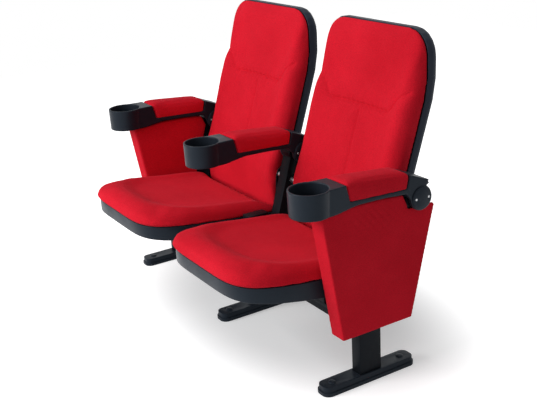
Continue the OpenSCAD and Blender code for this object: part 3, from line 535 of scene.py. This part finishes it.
# %% [markdown]
# The foot covers are low two-tier mouldings with soft edges. The tiers come from
# the CAD solid, and a wide bevel in four steps gives them the moulded roll.

# %% Foot covers
COVER_ROLL = 0.0026
COVER_ROLL_STEPS = 4
MOULD_EDGE_ANGLE = 50
for side in ROW_SIDES:
    cover = copy_of("foot_cover_" + side, "foot_cover_shell_" + side)
    round_edges(cover, COVER_ROLL, COVER_ROLL_STEPS, MOULD_EDGE_ANGLE)
    wear(cover, arm_black)
print("foot covers", len(cover.data.vertices), "points each")

# %% [markdown]
# Over each floor anchor sits a low round plug. It is a turned dome: rings of points
# that shrink as they rise, closed by a point on top and a face underneath.

# %% Anchor plugs
PLUG_RADIUS = 0.0112
PLUG_RISE = 0.0042
PLUG_TURNS = 40
PLUG_AIR = 0.0001
DOME_RINGS = 8
DOME_SHARP_ANGLE = 50


def dome_into(shape, middle, radius, rise, turns):
    """Adds a closed dome to a bmesh: a flat foot, a round shoulder and a soft top."""
    rings = []
    for k in range(DOME_RINGS):
        swing = math.pi / 2 * k / DOME_RINGS
        ring_radius = radius * math.cos(swing) ** 0.8
        height = rise * math.sin(swing)
        rings.append([shape.verts.new(middle + Vector((
            ring_radius * math.cos(2 * math.pi * i / turns),
            ring_radius * math.sin(2 * math.pi * i / turns), height)))
            for i in range(turns)])
    for lower, upper in zip(rings, rings[1:]):
        for i in range(turns):
            j = (i + 1) % turns
            shape.faces.new((lower[i], lower[j], upper[j], upper[i]))
    top = shape.verts.new(middle + Vector((0, 0, rise)))
    for i in range(turns):
        shape.faces.new((rings[-1][i], rings[-1][(i + 1) % turns], top))
    shape.faces.new(list(reversed(rings[0])))


plug_low, plug_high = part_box("anchor_plugs")
plug_shape = bmesh.new()
for side in ROW_SIDES:
    foot_low, foot_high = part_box("foot_cover_" + side)
    foot_x = (foot_low.x + foot_high.x) / 2
    for y in (plug_low.y + PLUG_RADIUS, plug_high.y - PLUG_RADIUS):
        dome_into(plug_shape, Vector((foot_x, y, foot_high.z + PLUG_AIR)), PLUG_RADIUS,
                  PLUG_RISE, PLUG_TURNS)
plug_mesh = bpy.data.meshes.new("anchor_plug_domes")
plug_shape.to_mesh(plug_mesh)
plug_shape.free()
plugs = bpy.data.objects.new("anchor_plug_domes", plug_mesh)
scene.collection.objects.link(plugs)
plug_mesh.materials.append(arm_black)
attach(plugs, "base")
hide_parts("anchor_plugs")
smooth_shading(plugs, DOME_SHARP_ANGLE)
print("plugs at y", round(plug_low.y + PLUG_RADIUS, 3), round(plug_high.y - PLUG_RADIUS, 3))

# %% [markdown]
# Large mouldings flow from one form into the next: cup holder into shoulder,
# shoulder into rail, rail into the round cheeks. A voxel remesh wraps the welded
# solid in an even skin, and smoothing that skin rounds every edge as a mould does.

# %% Skins


def even_skin(piece, voxel, smoothing):
    wrap = piece.modifiers.new("wrap", "REMESH")
    wrap.mode = "VOXEL"
    wrap.voxel_size = voxel
    relax = piece.modifiers.new("relax", "SMOOTH")
    relax.factor = 0.5
    relax.iterations = smoothing
    settle(piece)
    smooth_shading(piece)
    return piece


def same_again(piece, name, shift, node, mirror=False):
    """A second piece of the same form at another place in the row."""
    mesh = piece.data.copy()
    mesh.name = name
    if mirror:
        mesh.transform(Matrix.Scale(-1, 4, (1, 0, 0)))
        mesh.flip_normals()
    mesh.transform(Matrix.Translation(shift))
    twin = bpy.data.objects.new(name, mesh)
    scene.collection.objects.link(twin)
    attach(twin, frame["nodes"][node]["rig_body"])
    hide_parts(node)
    return twin


ARM_VOXEL = 0.0018
ARM_SMOOTHING = 5
arm_middle = even_skin(copy_of("arm_body_middle", "arm_moulding_middle"),
                       ARM_VOXEL, ARM_SMOOTHING)
wear(arm_middle, arm_black)
arms = {"middle": arm_middle}
for side, along in (("left", -PITCH), ("right", PITCH)):
    arms[side] = same_again(arm_middle, "arm_moulding_" + side, (along, 0, 0),
                            "arm_body_" + side)
print("arm skin", len(arm_middle.data.polygons), "faces")

# %% [markdown]
# Each hub cap is held by two small cross-head screws. A head is a grid of points
# pulled into a low dome, with the points inside a cross pushed down as its slot.

# %% Cap screws
SCREW_HEAD = 0.0036
SCREW_DOME = 0.0016
SCREW_ROOT = 0.0006
SCREW_SINK = 0.0018
CROSS_HALF = 0.00055
CROSS_DEEP = 0.0010
CAD_HEAD = 0.0035
HEAD_RINGS = 12
HEAD_TURNS = 32
HEAD_SHARP_ANGLE = 40


def screw_head_into(shape, seat, outward):
    """Adds a domed cross head to a bmesh; outward is +1 or -1 along X."""
    centre = shape.verts.new(seat + Vector((outward * (SCREW_DOME - CROSS_DEEP), 0, 0)))
    rings = []
    for k in range(1, HEAD_RINGS + 1):
        reach = SCREW_HEAD * k / HEAD_RINGS
        ring = []
        for i in range(HEAD_TURNS):
            angle = 2 * math.pi * i / HEAD_TURNS
            across, along = reach * math.cos(angle), reach * math.sin(angle)
            rise = SCREW_DOME * (1 - (k / HEAD_RINGS) ** 3)
            in_cross = min(abs(across), abs(along)) < CROSS_HALF and reach < SCREW_HEAD * 0.7
            rise -= CROSS_DEEP if in_cross else 0
            ring.append(shape.verts.new(seat + Vector((outward * rise, across, along))))
        rings.append(ring)
    base = [shape.verts.new(Vector((seat.x - outward * SCREW_ROOT, v.co.y, v.co.z)))
            for v in rings[-1]]
    rings.append(base)
    faces = []
    for i in range(HEAD_TURNS):
        j = (i + 1) % HEAD_TURNS
        faces.append(shape.faces.new((centre, rings[0][i], rings[0][j])))
        for inner, outer in zip(rings, rings[1:]):
            faces.append(shape.faces.new((inner[i], outer[i], outer[j], inner[j])))
    faces.append(shape.faces.new(list(reversed(base))))
    if outward < 0:
        bmesh.ops.reverse_faces(shape, faces=faces)


for side in ROW_SIDES:
    node = "cap_screws_" + side
    low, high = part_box(node)
    shape = bmesh.new()
    for y in (low.y + CAD_HEAD, high.y - CAD_HEAD):
        for x, outward in ((low.x + SCREW_SINK, -1), (high.x - SCREW_SINK, 1)):
            screw_head_into(shape, Vector((x, y, (low.z + high.z) / 2)), outward)
    mesh = bpy.data.meshes.new("cap_screw_heads_" + side)
    shape.to_mesh(mesh)
    shape.free()
    heads = bpy.data.objects.new("cap_screw_heads_" + side, mesh)
    scene.collection.objects.link(heads)
    mesh.materials.append(zinc)
    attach(heads, "arm_" + side)
    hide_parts(node)
    smooth_shading(heads, HEAD_SHARP_ANGLE)
print("screw heads at", [round(v, 3) for v in low])

# %% [markdown]
# The seat pan is a shallow tray. Its rim keeps the CAD outline, so its edges are
# rounded with a bevel rather than remeshed. In the photograph the pan is as dark
# as the arms, so it wears their finish.

# %% Seat pans
PAN_EDGE = 0.0030
PAN_EDGE_STEPS = 3
for side in SEAT_SIDES:
    pan = copy_of("seat_pan_" + side, "seat_pan_moulding_" + side)
    round_edges(pan, PAN_EDGE, PAN_EDGE_STEPS, MOULD_EDGE_ANGLE)
    wear(pan, arm_black)
print("pans", len(pan.data.vertices), "points each")

# %% [markdown]
# The back shell is a deep tray with a rolled rim. Its CAD solid is made of flat
# facets, and smoothing the even skin that wraps them turns them into one curve.

# %% Back shells
SHELL_VOXEL = 0.0026
SHELL_SMOOTHING = 8
shell_left = even_skin(copy_of("back_shell_left", "back_shell_moulding_left"),
                       SHELL_VOXEL, SHELL_SMOOTHING)
wear(shell_left, shell_black)
same_again(shell_left, "back_shell_moulding_right", (SEATS_APART, 0, 0), "back_shell_right")
print("back shell skin", len(shell_left.data.polygons), "faces")

# %% [markdown]
# Meshes of many thousand points are quicker to change as arrays of numbers. These
# helpers read and write all points at once, and even out a value over a mesh by
# moving each point's value towards the mean of its neighbours.

# %% Meshes as arrays


def points_of(piece):
    """All points and normals of a mesh; writing single points is slow."""
    count = len(piece.data.vertices)
    places, normals = np.empty(count * 3), np.empty(count * 3)
    piece.data.vertices.foreach_get("co", places)
    piece.data.vertices.foreach_get("normal", normals)
    return places.reshape(-1, 3), normals.reshape(-1, 3)


def put_points(piece, places):
    piece.data.vertices.foreach_set("co", places.ravel())
    piece.data.update()


def edge_ends(piece):
    ends = np.empty(len(piece.data.edges) * 2, dtype=np.int64)
    piece.data.edges.foreach_get("vertices", ends)
    return ends.reshape(-1, 2).T


def free_share(resting, ends, rings):
    """0 on the resting points, rising to 1 over some rings of points round them."""
    first, second = ends
    share = np.where(resting, 0.0, 1.0)
    for _ in range(rings):
        wider = share.copy()
        np.minimum.at(wider, first, share[second] + 1 / rings)
        np.minimum.at(wider, second, share[first] + 1 / rings)
        share = wider
    return share


def evened(values, ends, share, rounds):
    first, second = ends
    count = len(values)
    degree = np.bincount(first, minlength=count) + np.bincount(second, minlength=count)
    for _ in range(rounds):
        for axis in range(3):
            total = (np.bincount(first, values[second, axis], count)
                     + np.bincount(second, values[first, axis], count))
            values[:, axis] += 0.5 * share * (total / degree - values[:, axis])
    return values


print("array helpers ready")

# %% [markdown]
# Foam under cloth swells until the cover stops it. The cloth simulation does just
# that: the copy becomes an even skin, air pressure blows it up, and the points
# that rest on the board or shell stay pinned. The swelling is then capped and
# evened out, since dense foam spreads it and leaves no folds in the cover.

# %% Padding
PRESSURE = 4.0
HELD_RINGS = 4
PAD_SMOOTHING = 2
UNDERSIDE = -0.4


def underneath(normals):
    """True for the points whose faces look down at the board or pan."""
    return normals[:, 2] < UNDERSIDE


def pad_out(piece, resting, cap, calm, frames=20):
    """Runs the cloth with pressure; `resting` tells from the normals which points stay."""
    places, normals = points_of(piece)
    held = resting(normals)
    ends = edge_ends(piece)
    share = free_share(held, ends, HELD_RINGS)
    places = evened(places, ends, share, calm)
    put_points(piece, places)
    group = piece.vertex_groups.new(name="rest")
    group.add(np.flatnonzero(held).tolist(), 1.0, "REPLACE")
    cloth = piece.modifiers.new("cover", "CLOTH")
    cloth.settings.quality = 5
    cloth.settings.mass = 0.3
    cloth.settings.tension_stiffness = 15.0
    cloth.settings.compression_stiffness = 15.0
    cloth.settings.bending_stiffness = 2.0
    cloth.settings.use_pressure = True
    cloth.settings.uniform_pressure_force = PRESSURE
    cloth.settings.vertex_group_mass = "rest"
    cloth.settings.effector_weights.gravity = 0
    cloth.collision_settings.use_collision = False
    cloth.point_cache.frame_start = 1
    cloth.point_cache.frame_end = frames
    for step in range(1, frames + 1):
        scene.frame_set(step)
    settle(piece)
    scene.frame_set(1)
    shift = points_of(piece)[0] - places
    far = np.linalg.norm(shift, axis=1)
    shift *= (np.minimum(far, cap) / np.maximum(far, 1e-9))[:, None]
    put_points(piece, places + evened(shift, ends, share, calm))
    piece.vertex_groups.clear()
    print(piece.name, "swelled up to", round(far.max() * 1000, 1), "mm, capped at", cap * 1000)
    return piece


def finer(piece):
    fine = piece.modifiers.new("finer", "SUBSURF")
    fine.levels = 1
    fine.render_levels = 1
    settle(piece)
    smooth_shading(piece)
    return piece


def dress(piece):
    wear(piece, cloth_red)


def share_facing(along, gain, loss=0.0):
    """0 to 1 by how far faces look along an axis, from that part of their normals."""
    return np.clip(along * gain - loss, 0, 1)


def compare(piece, node):
    """Prints how far each side of a piece stands out over its CAD solid."""
    low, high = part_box(node)
    places = points_of(piece)[0]
    print(piece.name, "stands out low", np.round((np.array(low) - places.min(0)) * 1000, 1),
          "high", np.round((places.max(0) - np.array(high)) * 1000, 1), "mm")


print("padding helpers ready")

# %% [markdown]
# The back cushion is one moulded foam: a hollow down its middle for the spine, a
# raised border all round, and a thin top. Its cover has three panels. A seam runs
# in from each side, drops to a straight line across the upper third, and a vertical
# seam divides the lower panel.

# %% Back cushions: the padded form
BACK_VOXEL = 0.0050
BACK_CAP = 0.0065
BACK_REAR = 0.55
BACK_FOOT = -0.6
SEAT_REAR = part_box("seat_cushion_left")[1].y
SEAT_TOP = 0.352
FOOT_LEAN = 0.32
FOOT_AIR = 0.0028


def against_shell(normals):
    """True for the points of the back cushion's rear and of its foot."""
    return (normals[:, 1] > BACK_REAR) | (normals[:, 2] < BACK_FOOT)


def flatten_foot(piece):
    """Keeps the foot of the back cushion flat where it stands behind the seat."""
    places = points_of(piece)[0]
    above = np.clip(places[:, 2] - SEAT_TOP, 0, None)
    places[:, 1] = np.maximum(places[:, 1], SEAT_REAR + FOOT_AIR - FOOT_LEAN * above)
    put_points(piece, places)


back_left = copy_of("back_cushion_left", "back_cushion_cover_left", FINE_JOIN_ANGLE)
even_skin(back_left, BACK_VOXEL, PAD_SMOOTHING)
pad_out(back_left, against_shell, BACK_CAP, calm=16)
flatten_foot(back_left)
finer(back_left)
compare(back_left, "back_cushion_left")
print("back cover", len(back_left.data.polygons), "faces")

# %% [markdown]
# A seam pulls the cover into the foam: a narrow crease where the stitches are, in
# a broad soft dip. Each seam is a line on the front of the cushion, and each point
# sinks by its distance from that line. Small puckers run across the seam.

# %% Back cushions: the seams
SEAM_Z = 0.7180
SEAM_CORNER = 0.132
SEAM_LEGS = ((0.132, 0.7190), (0.146, 0.7240), (0.157, 0.7380), (0.168, 0.7560),
             (0.186, 0.7710), (0.212, 0.7850))
SPINE_LOW = 0.440
CREASE_WIDTH = 0.0042
CREASE_DEPTH = 0.0048
DIP_WIDTH = 0.017
DIP_DEPTH = 0.0060
STITCH_PULL = 0.12
STITCH_PITCH = 0.023


def distance_to(path, x, z):
    """Distance from each point to a line of straight stretches, and how far along."""
    nearest = np.full(x.shape, 1.0)
    reached = np.zeros(x.shape)
    run = 0.0
    for (x0, z0), (x1, z1) in zip(path, path[1:]):
        dx, dz = x1 - x0, z1 - z0
        length = math.hypot(dx, dz)
        share = np.clip(((x - x0) * dx + (z - z0) * dz) / length ** 2, 0, 1)
        gap = np.hypot(x - x0 - share * dx, z - z0 - share * dz)
        closer = gap < nearest
        nearest = np.where(closer, gap, nearest)
        reached = np.where(closer, run + share * length, reached)
        run += length
    return nearest, reached


cross_seam = ((-SEAM_CORNER, SEAM_Z), (SEAM_CORNER, SEAM_Z))
left_leg = tuple((-x, z) for x, z in SEAM_LEGS)
spine_seam = ((0.0, SEAM_Z), (0.0, SPINE_LOW))


def seam_depth(x, z):
    depth = np.zeros(x.shape)
    for path, weight in ((cross_seam, 1.0), (SEAM_LEGS, 0.75), (left_leg, 0.75),
                         (spine_seam, 0.60)):
        gap, along = distance_to(path, x, z)
        pull = 1.0 + STITCH_PULL * np.sin(along * 2 * math.pi / STITCH_PITCH)
        crease = CREASE_DEPTH * np.exp(-(gap / CREASE_WIDTH) ** 2)
        dip = DIP_DEPTH * np.exp(-(gap / DIP_WIDTH) ** 2) * pull
        depth = np.maximum(depth, weight * (crease + dip))
    return depth


def sew(piece, middle_x):
    """Presses the seams into the faces that look forward."""
    places, normals = points_of(piece)
    front = share_facing(-normals[:, 1], 1.5)
    places[:, 1] += seam_depth(places[:, 0] - middle_x, places[:, 2]) * front
    put_points(piece, places)


sew(back_left, BACK_X["left"])
dress(back_left)
back_right = same_again(back_left, "back_cushion_cover_right",
                        (SEATS_APART, 0, 0), "back_cushion_right")
dress(back_right)
print("seams sewn")

# %% [markdown]
# The seat cushion has a bowed front that rolls over the pan, raised sides and a
# dished middle. The dish is an arch in plan: it starts a hand's breadth behind the
# front edge and runs open to the rear. Its bank is the soft step that shows best.
# Its rear edge stops just short of the foot of the back, which stands behind it.

# %% Seat cushions
SEAT_VOXEL = 0.0055
SEAT_CAP = 0.0075
SEAT_AIR = 0.0006
DISH_HALF_WIDTH = 0.205
DISH_FRONT = CUP_Y - 0.108
DISH_MIDDLE = CUP_Y + 0.060
DISH_ROUND = 2.4
DISH_DEPTH = 0.0095
DISH_BANK = (0.82, 1.14)


def press_dish(piece, middle_x):
    """Lowers the faces that look up, inside the dish, with a smooth bank."""
    places, normals = points_of(piece)
    across = np.abs(places[:, 0] - middle_x) / DISH_HALF_WIDTH
    ahead = np.clip((DISH_MIDDLE - places[:, 1]) / (DISH_MIDDLE - DISH_FRONT), 0, None)
    reach = (across ** DISH_ROUND + ahead ** DISH_ROUND) ** (1 / DISH_ROUND)
    step = np.clip((DISH_BANK[1] - reach) / (DISH_BANK[1] - DISH_BANK[0]), 0, 1)
    places[:, 2] -= (DISH_DEPTH * step ** 2 * (3 - 2 * step)
                     * share_facing(normals[:, 2], 2, 0.4))
    put_points(piece, places)


def stop_rear(piece):
    """Keeps the rear edge off the foot of the back."""
    places = points_of(piece)[0]
    places[:, 1] = np.minimum(places[:, 1], SEAT_REAR + SEAT_AIR)
    put_points(piece, places)


seat_left = copy_of("seat_cushion_left", "seat_cushion_cover_left", FINE_JOIN_ANGLE)
even_skin(seat_left, SEAT_VOXEL, PAD_SMOOTHING)
pad_out(seat_left, underneath, SEAT_CAP, calm=18)
press_dish(seat_left, BACK_X["left"])
stop_rear(seat_left)
finer(seat_left)
compare(seat_left, "seat_cushion_left")
dress(seat_left)
seat_right = same_again(seat_left, "seat_cushion_cover_right",
                        (SEATS_APART, 0, 0), "seat_cushion_right")
dress(seat_right)
print("seat cover", len(seat_left.data.polygons), "faces")

# %% [markdown]
# The arm pads are firm foam on a small board, wrapped in the same cloth and
# stapled underneath, so their edges stay crisp and only the top swells.

# %% Arm pads
PAD_VOXEL = 0.0024
PAD_CAP = 0.0014
pad_middle = copy_of("pad_cover_middle", "arm_pad_cover_middle", FINE_JOIN_ANGLE)
even_skin(pad_middle, PAD_VOXEL, PAD_SMOOTHING)
pad_out(pad_middle, underneath, PAD_CAP, calm=3, frames=12)
compare(pad_middle, "pad_cover_middle")
dress(pad_middle)
for side, along in (("left", -PITCH), ("right", PITCH)):
    dress(same_again(pad_middle, "arm_pad_cover_" + side, (along, 0, 0),
                     "pad_cover_" + side))
print("pad cover", len(pad_middle.data.polygons), "faces")

# %% [markdown]
# The end panels are boards wrapped in thin foam and cloth. Their edges are round
# and their faces almost flat. Near the top, where the cover is pulled over the
# edge, it puckers: short shallow folds that fan out below the arm.

# %% End panels
PANEL_VOXEL = 0.0032
PANEL_SMOOTHING = 8
PUCKER_MIDDLE = (CUP_Y + 0.190, 0.496)
PUCKER_REACH = (0.070, 0.030)
PUCKER_PITCH = 0.024
PUCKER_DEPTH = 0.0011


def pucker(piece):
    """Draws short folds into both flat faces of a panel."""
    places, normals = points_of(piece)
    along = places[:, 1] - PUCKER_MIDDLE[0]
    up = places[:, 2] - PUCKER_MIDDLE[1]
    near = np.exp(-(along / PUCKER_REACH[0]) ** 2 - (up / PUCKER_REACH[1]) ** 2)
    fold = np.sin(2 * math.pi * (along + 0.9 * up) / PUCKER_PITCH)
    flat = share_facing(np.abs(normals[:, 0]), 4, 3)
    places[:, 0] -= np.sign(normals[:, 0]) * PUCKER_DEPTH * near * (1 + fold) / 2 * flat
    put_points(piece, places)


panel_right = copy_of("panel_cover_right", "panel_cover_wrap_right")
even_skin(panel_right, PANEL_VOXEL, PANEL_SMOOTHING)
pucker(panel_right)
compare(panel_right, "panel_cover_right")
dress(panel_right)
dress(same_again(panel_right, "panel_cover_wrap_left", (0, 0, 0), "panel_cover_left",
                 mirror=True))
print("panel wrap", len(panel_right.data.polygons), "faces")
